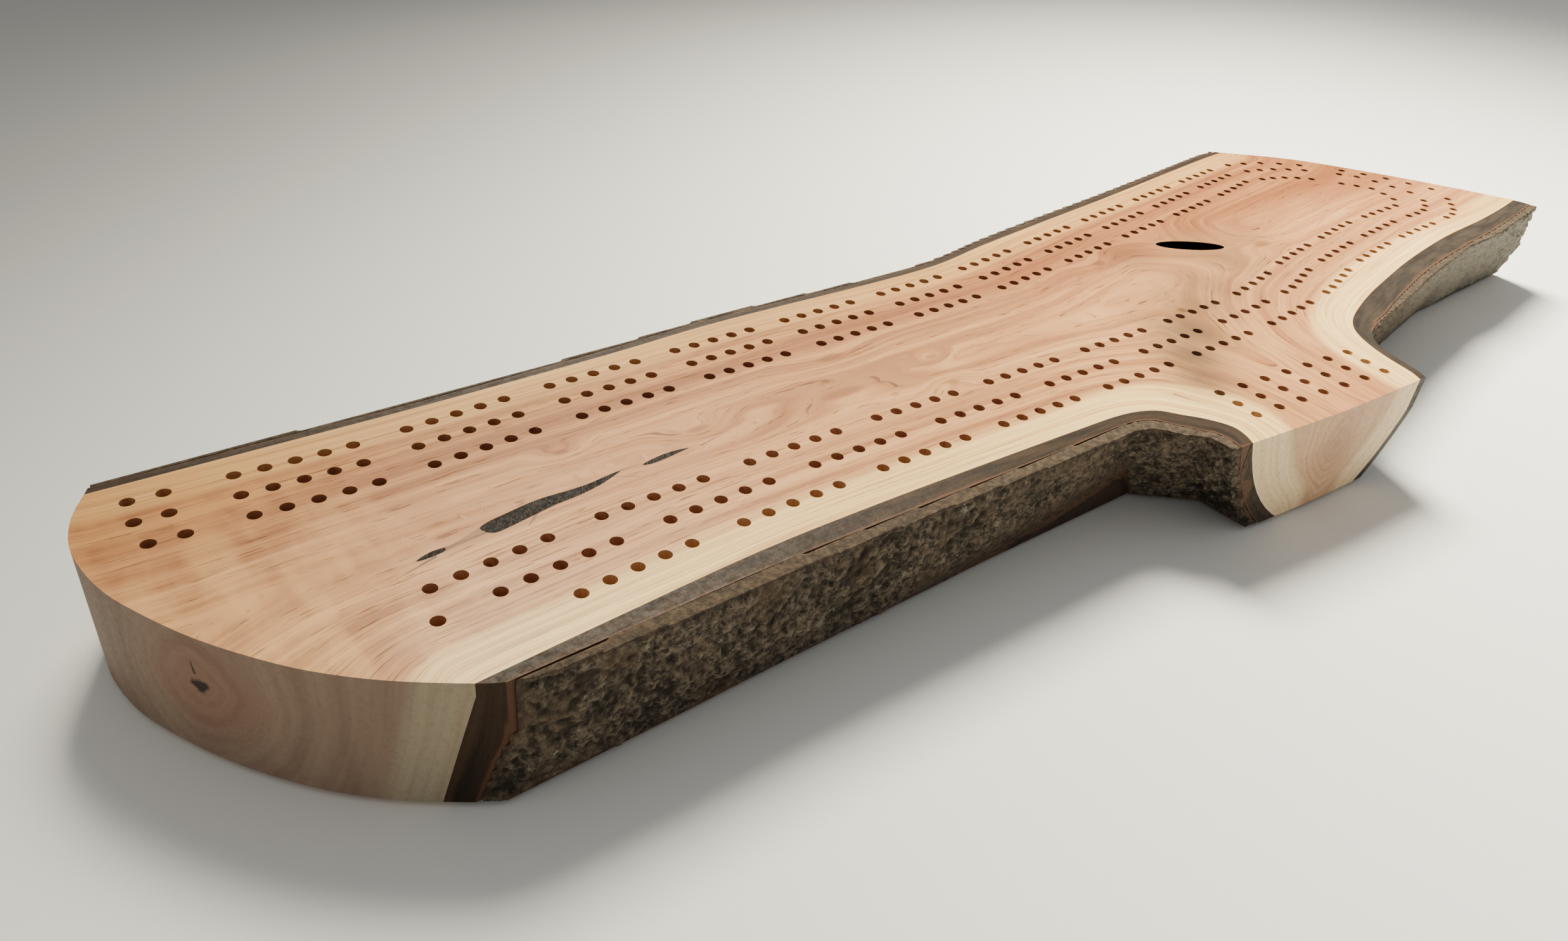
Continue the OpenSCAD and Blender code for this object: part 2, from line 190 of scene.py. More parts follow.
# %% Pith lines and growth values
PITH_DEPTH = 12.5 * MM
PITH_Z = TOP - PITH_DEPTH
trunk_pith = [(-0.300, -0.004), (-0.266, -0.0045), (-0.190, 0.000), (-0.100, 0.001),
              (0.000, -0.002), (0.060, 0.010), (0.120, 0.022), (0.200, 0.030), (0.300, 0.036)]
branch_pith = [(0.070, 0.012), (0.040, -0.010), (0.026, -0.035), (0.022, -0.060),
               (0.022, -0.110)]


def line_distance(co, line):
    """Distance in metres of each point from a pith line, at the pith's height."""
    best = np.full(len(co), 9.0)
    for (ax, ay), (bx, by) in zip(line[:-1], line[1:]):
        a = np.array([ax, ay, PITH_Z])
        d = np.array([bx, by, PITH_Z]) - a
        t = np.clip((co - a) @ d / (d @ d), 0, 1)
        best = np.minimum(best, np.linalg.norm(co - a - t[:, None] * d, axis=1))
    return best


def blob(co, x, y, size):
    """A soft round patch in plan, 1 at its middle, with its size in millimetres."""
    away = (co[:, 0] / MM - x) ** 2 + (co[:, 1] / MM - y) ** 2
    return np.exp(-away / (2 * size * size))


bark_tree = tree_of(*[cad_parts[n] for n in BARK_NODES])
co = coordinates(timber)
bark_away = np.array([bark_tree.find_nearest(Vector(p))[3] for p in co])
trunk_r = line_distance(co, trunk_pith)
branch_r = line_distance(co, branch_pith)
BRANCH_LAG = 3 * MM
NOT_ZERO = 1e-6
pith_away = np.minimum(trunk_r, branch_r + BRANCH_LAG)
ring = pith_away / (pith_away + bark_away + NOT_ZERO)
store(timber, "growth", ring, pith_away)
wide_sap = 9 * blob(co, -12, -58, 15) + 5 * blob(co, 58, -60, 16) + 3 * blob(co, 120, -40, 25)
store(timber, "sap", bark_away / MM - wide_sap)
print("deepest timber", round(float(bark_away.max()) / MM, 1), "mm from the bark")

# %% [markdown]
# ## Which finish goes on which face
#
# Every face of the timber shows the same wood, but sanded face grain, sawn end grain and the
# inside of a drilled hole don't look alike. So the piece gets three material slots. A face whose
# straight line outwards soon meets wood again is in a hole or in the peg pocket.

# %% Sort the timber's faces
FACE_GRAIN, END_GRAIN, DRILLED = 0, 1, 2
HOLE_REACH = 30 * MM


def sort_faces(piece):
    """Give each face of the timber its slot: face grain, end grain or drilled."""
    own_tree = tree_of(piece)
    slots = []
    for face in piece.data.polygons:
        flat = abs(face.normal.z) > 0.9
        outside = min(abs(face.center.z - TOP), abs(face.center.z - BOTTOM)) < 0.1 * MM
        if flat and outside:
            slots.append(FACE_GRAIN)
            continue
        hit = own_tree.ray_cast(face.center + face.normal * 0.05 * MM, face.normal, HOLE_REACH)[0]
        slots.append(END_GRAIN if hit is None and not flat else DRILLED)
    piece.data.polygons.foreach_set("material_index", slots)
    return slots


slots = sort_faces(timber)
print("faces in each slot", [slots.count(k) for k in (FACE_GRAIN, END_GRAIN, DRILLED)])

# %% [markdown]
# ## Building materials
#
# Four short helpers keep the node trees readable. wire adds a node and fills its inputs in order,
# with numbers or with links. calc is one Math node, fade is a smooth step between two values, and
# tint mixes two colours.

# %% Node helpers
def srgb(r, g, b):
    """A colour as paint charts give it, 0 to 255, in the linear values that nodes want."""
    linear = []
    for value in (r, g, b):
        c = value / 255
        linear.append(c / 12.92 if c <= 0.04045 else ((c + 0.055) / 1.055) ** 2.4)
    return (*linear, 1.0)


def wire(tree, kind, *values, **settings):
    """Add a node; each value fills or links the input of the same number, None skips one."""
    new = tree.nodes.new("ShaderNode" + kind)
    for key, setting in settings.items():
        setattr(new, key, setting)
    for number, value in enumerate(values):
        if isinstance(value, bpy.types.NodeSocket):
            tree.links.new(value, new.inputs[number])
        elif value is not None:
            new.inputs[number].default_value = value
    return new


def calc(tree, operation, *values):
    return wire(tree, "Math", *values, operation=operation).outputs[0]


def fade(tree, value, low, high, start=0.0, end=1.0):
    """start where value is low, end where it is high, smooth between and flat outside."""
    step = wire(tree, "MapRange", value, low, high, start, end, interpolation_type="SMOOTHSTEP")
    return step.outputs[0]


def tint(tree, factor, a, b, mode="MIX"):
    mix = tree.nodes.new("ShaderNodeMix")
    mix.data_type = "RGBA"
    mix.blend_type = mode
    mix.clamp_factor = True
    for number, value in ((0, factor), (6, a), (7, b)):
        if isinstance(value, bpy.types.NodeSocket):
            tree.links.new(value, mix.inputs[number])
        else:
            mix.inputs[number].default_value = value
    return mix.outputs[2]


def noise_at(tree, x, y, z, detail=3.0, roughness=0.55, distortion=0.0):
    """Noise read at three coordinates that are already in noise sizes."""
    place = wire(tree, "CombineXYZ", x, y, z).outputs[0]
    tex = wire(tree, "TexNoise", place, None, 1.0, detail, roughness, 2.0)
    tex.inputs["Distortion"].default_value = distortion
    return tex.outputs[0]


def times(tree, value, factor):
    return calc(tree, "MULTIPLY", value, factor)


def attribute(tree, name):
    """The three parts of a stored vector."""
    vector = wire(tree, "Attribute", attribute_name=name).outputs["Vector"]
    return wire(tree, "SeparateXYZ", vector).outputs


def object_place(tree):
    """Object coordinates whole and split into X, Y and Z."""
    vector = wire(tree, "TexCoord").outputs["Object"]
    return vector, wire(tree, "SeparateXYZ", vector).outputs


def new_group(name, inputs, outputs):
    """A node group with named inputs (name, type, value) and outputs (name, type)."""
    group = bpy.data.node_groups.new(name, "ShaderNodeTree")
    for label, kind, value in inputs:
        socket = group.interface.new_socket(label, in_out="INPUT", socket_type="NodeSocket" + kind)
        socket.default_value = value
    for label, kind in outputs:
        group.interface.new_socket(label, in_out="OUTPUT", socket_type="NodeSocket" + kind)
    start = group.nodes.new("NodeGroupInput").outputs
    end = group.nodes.new("NodeGroupOutput").inputs
    return group, start, end


def use(tree, group, **values):
    """Place a group and fill its inputs by name, with _ for a space."""
    new = tree.nodes.new("ShaderNodeGroup")
    new.node_tree = group
    for key, value in values.items():
        socket = new.inputs[key.replace("_", " ")]
        if isinstance(value, bpy.types.NodeSocket):
            tree.links.new(value, socket)
        else:
            socket.default_value = value
    return new.outputs


def new_material(name, **constants):
    """A material with a Principled shader whose plain values are set on its own sockets."""
    material = bpy.data.materials.new(name)
    material.use_nodes = True
    tree = material.node_tree
    shader = tree.nodes["Principled BSDF"]
    for key, value in constants.items():
        shader.inputs[key.replace("_", " ")].default_value = value
    return material, tree, shader


def join(tree, shader, name, socket):
    tree.links.new(socket, shader.inputs[name])


def relief(tree, shader, height, distance, strength=1.0):
    """Feed a height to the shader's normal through a Bump node."""
    bump = wire(tree, "Bump", strength, distance)
    tree.links.new(height, bump.inputs["Height"])
    tree.links.new(bump.outputs[0], shader.inputs["Normal"])


# %% [markdown]
# ## Shared marks in wood
#
# Two small groups are used many times. A swirl is where the grain parts around a pin knot. A
# check is a crack as thin as a hair, along a straight line that noise bends.

# %% Groups for swirls and checks
swirl_group, start, end = new_group(
    "pin_knot_swirl",
    [("Place", "Vector", (0, 0, 0)), ("Middle", "Vector", (0, 0, 0)),
     ("Stretch", "Vector", (1, 1, 0)), ("Reach", "Float", 0.006)],
    [("Swirl", "Float"), ("Heart", "Float")])
swirl_away = wire(swirl_group, "VectorMath", start["Place"], start["Middle"],
                  operation="SUBTRACT").outputs[0]
swirl_away = wire(swirl_group, "VectorMath", swirl_away, start["Stretch"],
                  operation="MULTIPLY").outputs[0]
swirl_length = wire(swirl_group, "VectorMath", swirl_away, operation="LENGTH").outputs["Value"]
share = calc(swirl_group, "DIVIDE", swirl_length, start["Reach"])
swirl_group.links.new(fade(swirl_group, share, 1.0, 0.0), end["Swirl"])
swirl_group.links.new(fade(swirl_group, share, 0.24, 0.08), end["Heart"])

check_group, start, end = new_group(
    "hair_check",
    [("Place", "Vector", (0, 0, 0)), ("From", "Vector", (0, 0, 0)), ("To", "Vector", (0, 0, 0)),
     ("Width", "Float", 0.0003), ("Wander", "Float", 0.0008)],
    [("Check", "Float")])


def vector_calc(tree, operation, *values):
    out = wire(tree, "VectorMath", *values, operation=operation).outputs
    return out["Value"] if operation in ("DOT_PRODUCT", "LENGTH") else out[0]


wander = wire(check_group, "TexNoise", start["Place"], None, 260.0, 3.0, 0.6)
wander = vector_calc(check_group, "SUBTRACT", wander.outputs[1], (0.5, 0.5, 0.5))
wander_node = wire(check_group, "VectorMath", wander, operation="SCALE")
check_group.links.new(start["Wander"], wander_node.inputs["Scale"])
bent = vector_calc(check_group, "ADD", start["Place"], wander_node.outputs[0])
along = vector_calc(check_group, "SUBTRACT", start["To"], start["From"])
from_start = vector_calc(check_group, "SUBTRACT", bent, start["From"])
part = calc(check_group, "DIVIDE", vector_calc(check_group, "DOT_PRODUCT", from_start, along),
            vector_calc(check_group, "DOT_PRODUCT", along, along))
part_node = wire(check_group, "Clamp", part, 0.0, 1.0).outputs[0]
foot = wire(check_group, "VectorMath", along, operation="SCALE")
check_group.links.new(part_node, foot.inputs["Scale"])
gap = vector_calc(check_group, "LENGTH",
                  vector_calc(check_group, "SUBTRACT", from_start, foot.outputs[0]))
taper = calc(check_group, "SUBTRACT", 1.0, times(check_group, part_node, 0.75))
half_width = calc(check_group, "MULTIPLY", start["Width"], taper)
check_group.links.new(fade(check_group, calc(check_group, "DIVIDE", gap, half_width), 1.0, 0.4),
                      end["Check"])

# %% [markdown]
# ## The wood itself
#
# The wood is one solid pattern that all three finishes share: pinkish heartwood in long streaks,
# a cream sapwood band under the bark, thin ring lines, pin knots that the grain parts around, a
# grey stain where the branch leaves, a painted sheen in pale streaks across the grain at the near
# end, and painted shade that darkens the face towards the rear edge.

# %% The branch stain, pale bands, the darker far end, painted sheen and painted rear shade
stain_line = [(60, -8, 12, 0.55), (42, -15, 11, 0.6), (22, -26, 10, 0.85), (8, -36, 8, 0.9),
              (-2, -46, 7, 0.8), (88, 4, 13, 0.5), (112, 10, 9, 0.35), (55, 22, 10, 0.3)]
stain = np.zeros(len(co))
for x, y, size, weight in stain_line:
    stain = np.maximum(stain, weight * blob(co, x, y, size))
# Where the painted sheen goes: it fades in towards the near end.
near_painted_sheen = ramp(-co[:, 0], 195 * MM, 250 * MM)
far_dark = ramp(co[:, 0], 170 * MM, 230 * MM) * (1 - ramp(-co[:, 1], 0, 40 * MM) * 0.4)
store(timber, "marks", stain, near_painted_sheen, far_dark)
pale_bands = [(-250, 33.5), (-200, 34), (-120, 34.5), (-40, 38), (40, 47)]
band_y = np.interp(co[:, 0] / MM, [p[0] for p in pale_bands], [p[1] for p in pale_bands])
pale = np.exp(-((co[:, 1] / MM - band_y) / 2.2) ** 2) * ramp(-co[:, 0], -60 * MM, 40 * MM)
# Painted shade: the face is darkened towards the rear edge, where the light falls off.
painted_rear_shade = ramp(co[:, 1], 8 * MM, 34 * MM)
store(timber, "bands", pale, painted_rear_shade)

# %% The wood pattern as a group
PIN_KNOTS = [(-90.1, 18.0, 0.010, 0.35), (-100.1, 1.0, 0.012, 0.28), (38.9, 23.6, 0.010, 0.5),
             (113.9, 5.0, 0.012, 0.5), (-144.1, 6.0, 0.008, 0.4), (-69.1, -10.0, 0.007, 0.5),
             (-64.1, 4.0, 0.006, 0.5), (-178.0, 14.0, 0.006, 0.5)]
KNOT_MIDDLE = (85.4, 17.55)
wood_group, start, end = new_group(
    "wood_pattern", [("Contrast", "Float", 1.0), ("Rings", "Float", 0.3)],
    [("Color", "Color"), ("Grain", "Float"), ("Gloss", "Float")])
place, (px, py, pz) = object_place(wood_group)
ring_value = attribute(wood_group, "growth")[0]
sap_value = attribute(wood_group, "sap")[0]
stain_value, painted_sheen_value, far_value = attribute(wood_group, "marks")
pale_value, painted_rear_shade_value = attribute(wood_group, "bands")[:2]

swirls = 0.0
hearts = 0.0
for x, y, reach, stretch in PIN_KNOTS:
    out = use(wood_group, swirl_group, Place=place, Middle=(x * MM, y * MM, 0),
              Stretch=(stretch, 1.0, 0.0), Reach=reach)
    swirls = calc(wood_group, "ADD", out["Swirl"], swirls)
    hearts = calc(wood_group, "ADD", out["Heart"], hearts)
knot_out = use(wood_group, swirl_group, Place=place,
               Middle=(KNOT_MIDDLE[0] * MM, KNOT_MIDDLE[1] * MM, 0), Stretch=(0.62, 1.0, 0.0),
               Reach=0.026)
lift = calc(wood_group, "ADD", times(wood_group, swirls, 0.0035),
            times(wood_group, knot_out["Swirl"], 0.011))
LOG_RADIUS = 0.05
depth = calc(wood_group, "ADD", times(wood_group, ring_value, LOG_RADIUS), lift)
sway = noise_at(wood_group, times(wood_group, px, 14.0), times(wood_group, py, 30.0), 0.0, 2.0)
depth = calc(wood_group, "ADD", depth, times(wood_group, sway, 0.0025))

broad = noise_at(wood_group, times(wood_group, depth, 330.0), times(wood_group, px, 5.0),
                 times(wood_group, py, 14.0), 4.0, 0.6)
fibre = noise_at(wood_group, times(wood_group, depth, 1500.0), times(wood_group, px, 16.0),
                 times(wood_group, py, 22.0), 3.0, 0.65)
pore = noise_at(wood_group, times(wood_group, depth, 2600.0), times(wood_group, px, 95.0),
                times(wood_group, py, 40.0), 3.0, 0.55)
cloud = noise_at(wood_group, times(wood_group, px, 16.0), times(wood_group, py, 34.0),
                 times(wood_group, pz, 20.0), 3.0)
RING_WIDTH = 0.0031
turns = calc(wood_group, "DIVIDE", depth, RING_WIDTH)
turns = calc(wood_group, "ADD", turns, times(wood_group, broad, 1.6))
late = calc(wood_group, "FRACT", turns)
ring_line = calc(wood_group, "MULTIPLY", fade(wood_group, late, 0.55, 0.94),
                 fade(wood_group, late, 1.0, 0.95))

heart_mask = fade(wood_group, calc(wood_group, "ADD", sap_value, times(wood_group, broad, 7.0)),
                  12.0, 17.0)
heart = tint(wood_group, fade(wood_group, broad, 0.3, 0.7), srgb(164, 122, 98),
             srgb(220, 182, 150))
heart = tint(wood_group, times(wood_group, fade(wood_group, cloud, 0.35, 0.75), 0.45), heart,
             srgb(182, 134, 110))
sap = tint(wood_group, fade(wood_group, broad, 0.3, 0.7), srgb(234, 208, 162),
           srgb(252, 236, 196))
wood = tint(wood_group, heart_mask, sap, heart)
wood = tint(wood_group, times(wood_group, pale_value, 0.75), wood, srgb(238, 207, 165))
ring_share = calc(wood_group, "MULTIPLY", ring_line, start["Rings"])
wood = tint(wood_group, ring_share, wood, srgb(168, 116, 86))
fibre_share = calc(wood_group, "MULTIPLY", fade(wood_group, fibre, 0.42, 0.72),
                   start["Contrast"])
wood = tint(wood_group, times(wood_group, fibre_share, 0.50), wood, srgb(146, 98, 72))
pore_share = calc(wood_group, "MULTIPLY", fade(wood_group, pore, 0.60, 0.72), start["Contrast"])
pore_share = calc(wood_group, "MULTIPLY", pore_share, calc(wood_group, "ADD", heart_mask, 0.25))
wood = tint(wood_group, times(wood_group, pore_share, 0.62), wood, srgb(96, 60, 42))
stain_edge = calc(wood_group, "MULTIPLY", stain_value,
                  fade(wood_group, calc(wood_group, "ADD", cloud, times(wood_group, broad, 0.6)),
                       0.15, 0.65))
wood = tint(wood_group, times(wood_group, stain_edge, 0.95), wood, srgb(92, 80, 72))
wood = tint(wood_group, times(wood_group, far_value, 0.35), wood, srgb(170, 124, 92))
wood = tint(wood_group, times(wood_group, hearts, 0.55), wood, srgb(120, 78, 56))
halo = fade(wood_group, knot_out["Swirl"], 0.15, 0.75)
wood = tint(wood_group, times(wood_group, halo, 0.30), wood, srgb(150, 118, 92))
# Pale streaks across the grain at the near end are a painted sheen; the same streaks are also made
# glossier.
painted_sheen_noise = noise_at(wood_group, times(wood_group, px, 120.0), times(wood_group, py, 38.0), 0.0, 2.0)
painted_sheen_mask = calc(wood_group, "MULTIPLY", fade(wood_group, painted_sheen_noise, 0.38, 0.66), painted_sheen_value)
wood = tint(wood_group, times(wood_group, painted_sheen_mask, 0.38), wood, srgb(240, 204, 160))
# Painted shade: the wood is multiplied darker towards the rear edge.
wood = tint(wood_group, times(wood_group, painted_rear_shade_value, 0.7), wood, srgb(196, 166, 140), "MULTIPLY")
wood_group.links.new(wood, end["Color"])
grain_height = calc(wood_group, "SUBTRACT", fibre, times(wood_group, pore_share, 1.2))
wood_group.links.new(grain_height, end["Grain"])
wood_group.links.new(calc(wood_group, "ADD", fibre, times(wood_group, painted_sheen_mask, -0.4)),
                     end["Gloss"])

# %% [markdown]
# ## Face grain, end grain and drilled wood
#
# The face is sanded and oiled, so it has a soft sheen. The ends are darker and duller because
# they show the cut fibres, and they have the pith with its little star and a few drying checks.
# The holes are drilled across the grain and are rougher and browner.

# %% Face grain
CHECKS_ON_FACE = [((-18.0, -47.5), (-14.5, -56.0)), ((-219.0, -7.0), (-228.0, -9.5))]
BARK_STREAKS = [((-206.0, -3.9), (-217.5, -6.2), 1.9), ((-170.0, 0.2), (-164.6, 0.0), 0.5),
                ((-148.0, -0.6), (-138.0, 1.5), 0.5), ((-194.6, -4.4), (-198.0, -7.6), 0.8),
                ((-168.0, -4.0), (-176.0, 0.6), 0.3)]
OIL = (0.96, 0.77, 0.50, 1.0)
face_grain, tree, shader = new_material("face_grain", Specular_IOR_Level=0.1, Coat_Weight=0.06,
                                        Coat_Roughness=0.2)
pattern = use(tree, wood_group, Contrast=1.0, Rings=0.22)
place, (px, py, pz) = object_place(tree)
face_color = tint(tree, 1.0, pattern["Color"], OIL, "MULTIPLY")
for (ax, ay), (bx, by) in CHECKS_ON_FACE:
    crack = use(tree, check_group, Place=place, From=(ax * MM, ay * MM, TOP),
                To=(bx * MM, by * MM, TOP), Width=0.0005)["Check"]
    face_color = tint(tree, times(tree, crack, 0.75), face_color, srgb(70, 45, 32))
for (ax, ay), (bx, by), width in BARK_STREAKS:
    streak = use(tree, check_group, Place=place, From=(ax * MM, ay * MM, TOP),
                 To=(bx * MM, by * MM, TOP), Width=width * MM, Wander=0.0006)["Check"]
    face_color = tint(tree, times(tree, streak, 0.72), face_color, srgb(112, 76, 54))
join(tree, shader, "Base Color", face_color)
join(tree, shader, "Roughness", fade(tree, pattern["Gloss"], 0.2, 0.8, 0.40, 0.56))
relief(tree, shader, pattern["Grain"], 0.00012, 0.5)

# %% End grain
END_CHECKS = [((-266, -5, 21), (-262, -30, 23.5), 0.0008), ((-266, -4, 21), (-270, 14, 17.0), 0.0010),
              ((-270, 12, 18), (-272, 25, 20.0), 0.0007), ((-266, -4, 24), (-266, -3, 33.6), 0.0005),
              ((-268, 6, 30), (-269, 10, 33.6), 0.0005), ((58, -79, 30), (56, -79, 14.0), 0.0009),
              ((56, -79, 16), (50, -79, 8.0), 0.0004)]
end_grain, tree, shader = new_material("end_grain", Specular_IOR_Level=0.25)
pattern = use(tree, wood_group, Contrast=0.25, Rings=0.16)
place, (px, py, pz) = object_place(tree)
near_end = fade(tree, px, -0.18, -0.2)
end_color = tint(tree, near_end, pattern["Color"], srgb(174, 180, 186), "MULTIPLY")
end_color = tint(tree, times(tree, near_end, 0.4), end_color, srgb(132, 112, 98))
stub_end = calc(tree, "SUBTRACT", 1.0, near_end)
end_color = tint(tree, times(tree, stub_end, 0.45), end_color, srgb(206, 166, 124))
pith_gap = attribute(tree, "growth")[1]
grit = wire(tree, "TexNoise", place, None, 900.0, 2.0, 0.6).outputs[0]
end_color = tint(tree, times(tree, fade(tree, grit, 0.45, 0.75), 0.22), end_color,
                 srgb(120, 88, 66))
end_color = tint(tree, times(tree, fade(tree, pith_gap, 0.020, 0.004), 0.45), end_color,
                 srgb(140, 98, 74))
star = wire(tree, "TexNoise", place, None, 420.0, 2.0, 0.5).outputs[0]
star_gap = calc(tree, "ADD", pith_gap, times(tree, star, 0.003))
pith_mask = calc(tree, "MULTIPLY", fade(tree, star_gap, 0.0042, 0.0028), near_end)
end_color = tint(tree, pith_mask, end_color, srgb(30, 20, 15))
crack_height = calc(tree, "MULTIPLY", pith_mask, -1.0)
for first, last, width in END_CHECKS:
    crack = use(tree, check_group, Place=place, From=[c * MM for c in first],
                To=[c * MM for c in last], Width=width)["Check"]
    end_color = tint(tree, times(tree, crack, 0.85), end_color, srgb(52, 33, 24))
    crack_height = calc(tree, "SUBTRACT", crack_height, crack)
join(tree, shader, "Base Color", end_color)
join(tree, shader, "Roughness", fade(tree, grit, 0.2, 0.8, 0.50, 0.68))
relief(tree, shader, calc(tree, "ADD", crack_height, times(tree, grit, 0.25)), 0.0003, 0.6)

# %% Drilled wood
drilled, tree, shader = new_material("drilled_wood")
pattern = use(tree, wood_group, Contrast=1.0, Rings=0.3)
drilled_color = tint(tree, 1.0, pattern["Color"], srgb(216, 190, 164), "MULTIPLY")
place, (px, py, pz) = object_place(tree)
cutter_lines = wire(tree, "TexNoise", wire(tree, "CombineXYZ", 0.0, 0.0, times(tree, pz, 4000.0))
                    .outputs[0], None, 1.0, 2.0).outputs[0]
join(tree, shader, "Base Color", drilled_color)
join(tree, shader, "Roughness", fade(tree, cutter_lines, 0.2, 0.8, 0.6, 0.8))
relief(tree, shader, cutter_lines, 0.0001, 0.5)
for finish in (face_grain, end_grain, drilled):
    timber.data.materials.append(finish)
smooth_by_angle(timber, 35)
keep_as(timber, "slab", "board")
print("timber finishes", [m.name for m in timber.data.materials])

# %% [markdown]
# ## Inner bark
#
# Under the crust is a smooth band of inner bark. Sawn through, it shows as a dark stripe on the
# face, with a thin black line against the wood and a thin reddish line under the crust. Each
# point stores how far across the band it is.

# %% Inner bark
crust_tree = tree_of(*[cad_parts[n] for n in CRUST_NODES])
wood_tree = tree_of(timber)
inner_bark, tree, shader = new_material("inner_bark", Specular_IOR_Level=0.12)
across, grey_share = attribute(tree, "band")[:2]
place, (px, py, pz) = object_place(tree)
bark_streak = noise_at(tree, times(tree, across, 2.5), times(tree, px, 60.0),
                       times(tree, py, 60.0), 4.0, 0.65)
bark_fleck = wire(tree, "TexNoise", place, None, 700.0, 3.0, 0.7).outputs[0]
brown_bark = tint(tree, fade(tree, bark_streak, 0.3, 0.7), srgb(34, 25, 18), srgb(62, 45, 31))
grey_bark = tint(tree, fade(tree, bark_streak, 0.3, 0.7), srgb(42, 36, 31), srgb(64, 55, 47))
bark_color = tint(tree, grey_share, brown_bark, grey_bark)
bark_color = tint(tree, times(tree, fade(tree, bark_fleck, 0.5, 0.8), 0.35), bark_color,
                  srgb(48, 38, 32))
edge_line = calc(tree, "ADD", across, times(tree, calc(tree, "SUBTRACT", bark_streak, 0.5), 0.3))
bark_color = tint(tree, times(tree, fade(tree, edge_line, 0.12, 0.02), 0.75), bark_color,
                  srgb(58, 38, 27))
bark_color = tint(tree, times(tree, fade(tree, edge_line, 0.84, 0.95), 0.7), bark_color,
                  srgb(92, 64, 46))
join(tree, shader, "Base Color", bark_color)
join(tree, shader, "Roughness", fade(tree, bark_fleck, 0.3, 0.8, 0.45, 0.7))
relief(tree, shader, calc(tree, "ADD", bark_streak, times(tree, bark_fleck, 0.5)), 0.0003, 0.6)
WIDEST_BARK = 6 * MM
for node in BARK_NODES:
    piece = bench_copy(node)
    slice_net(piece, 0, 5 * MM)
    slice_net(piece, 2, 8 * MM)
    smooth_by_angle(piece, 40)
    points = coordinates(piece)
    to_wood = np.array([wood_tree.find_nearest(Vector(p))[3] for p in points])
    to_crust = np.array([crust_tree.find_nearest(Vector(p))[3] for p in points])
    fraction = to_wood / (to_wood + np.minimum(to_crust, WIDEST_BARK) + NOT_ZERO)
    greyness = ramp(points[:, 0], -60 * MM, 60 * MM) * (points[:, 1] < 20 * MM)
    store(piece, "band", fraction, greyness)
    piece.data.materials.append(inner_bark)
    keep_as(piece, node, "board")
    print(node, "up to", round(float(to_wood.max()) / MM, 1), "mm thick")

# %% [markdown]
# ## The crust
#
# The outer bark is old, rough and full of pits, and its outline is a real shape, so it is made of
# mesh and not of shading. The CAD piece is filled with even small faces by Remesh. Then four
# Displace modifiers push it about: big lumps, plates, furrows and grit. A vertex group holds the
# sawn faces still. The rear crust gets larger faces and stays calm near its top edge.

# %% Crust shapes
def lumps(name, kind, size, **settings):
    texture = bpy.data.textures.new(name, kind)
    texture.noise_scale = size
    for key, value in settings.items():
        setattr(texture, key, value)
    return texture


CRUST_LAYERS = [(lumps("bulges", "CLOUDS", 0.022, noise_depth=1), 2.2 * MM, 0.5),
                (lumps("plates", "VORONOI", 0.0055, distance_metric="DISTANCE",
                       weight_1=-1.0, weight_2=1.0), 1.2 * MM, 0.25),
                (lumps("furrows", "CLOUDS", 0.0042, noise_depth=3, noise_type="HARD_NOISE"),
                 2.0 * MM, 0.40),
                (lumps("grit", "CLOUDS", 0.0016, noise_depth=2), 1.6 * MM, 0.5)]
WEIGHT_LEVELS = 20
inner_tree = tree_of(*[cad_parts[n] for n in BARK_NODES], timber)


def rough_crust(node, voxel, calm):
    """The crust of one side, with real lumps and furrows on its outer face.

    Calm is how far below the sawn face the roughness reaches its full size.
    """
    piece = bench_copy(node)
    modifier = piece.modifiers.new("fill", "REMESH")
    modifier.mode = "VOXEL"
    modifier.voxel_size = voxel
    bpy.ops.object.modifier_apply(modifier=modifier.name)
    before = coordinates(piece)
    normals = np.empty(len(before) * 3, dtype=np.float32)
    piece.data.vertices.foreach_get("normal", normals)
    normals = normals.reshape(-1, 3)
    clear_of_wood = np.array([inner_tree.find_nearest(Vector(p))[3] for p in before])
    rim = np.minimum((TOP - before[:, 2]) / calm, (before[:, 2] - BOTTOM) / (1.5 * MM))
    free = ramp(clear_of_wood, 0.4 * MM, 1.6 * MM) * ramp(rim, 0.1, 1.0)
    group = piece.vertex_groups.new(name="free")
    levels = np.round(free * WEIGHT_LEVELS).astype(int)
    for level in range(1, WEIGHT_LEVELS + 1):
        chosen = np.nonzero(levels == level)[0]
        if len(chosen):
            group.add(chosen.tolist(), level / WEIGHT_LEVELS, "REPLACE")
    for texture, strength, middle in CRUST_LAYERS:
        push = piece.modifiers.new(texture.name, "DISPLACE")
        push.texture = texture
        push.texture_coords = "LOCAL"
        push.strength = strength
        push.mid_level = middle
        push.vertex_group = "free"
        bpy.ops.object.modifier_apply(modifier=push.name)
    moved = coordinates(piece) - before
    height = np.einsum("ij,ij->i", moved, normals)
    store(piece, "crust", height / MM, free)
    smooth_by_angle(piece, 60)
    marks = np.percentile(height[free > 0.9] / MM, [2, 25, 50, 75, 98])
    print(node, len(piece.data.polygons), "faces, pushed", [round(float(m), 2) for m in marks])
    return piece


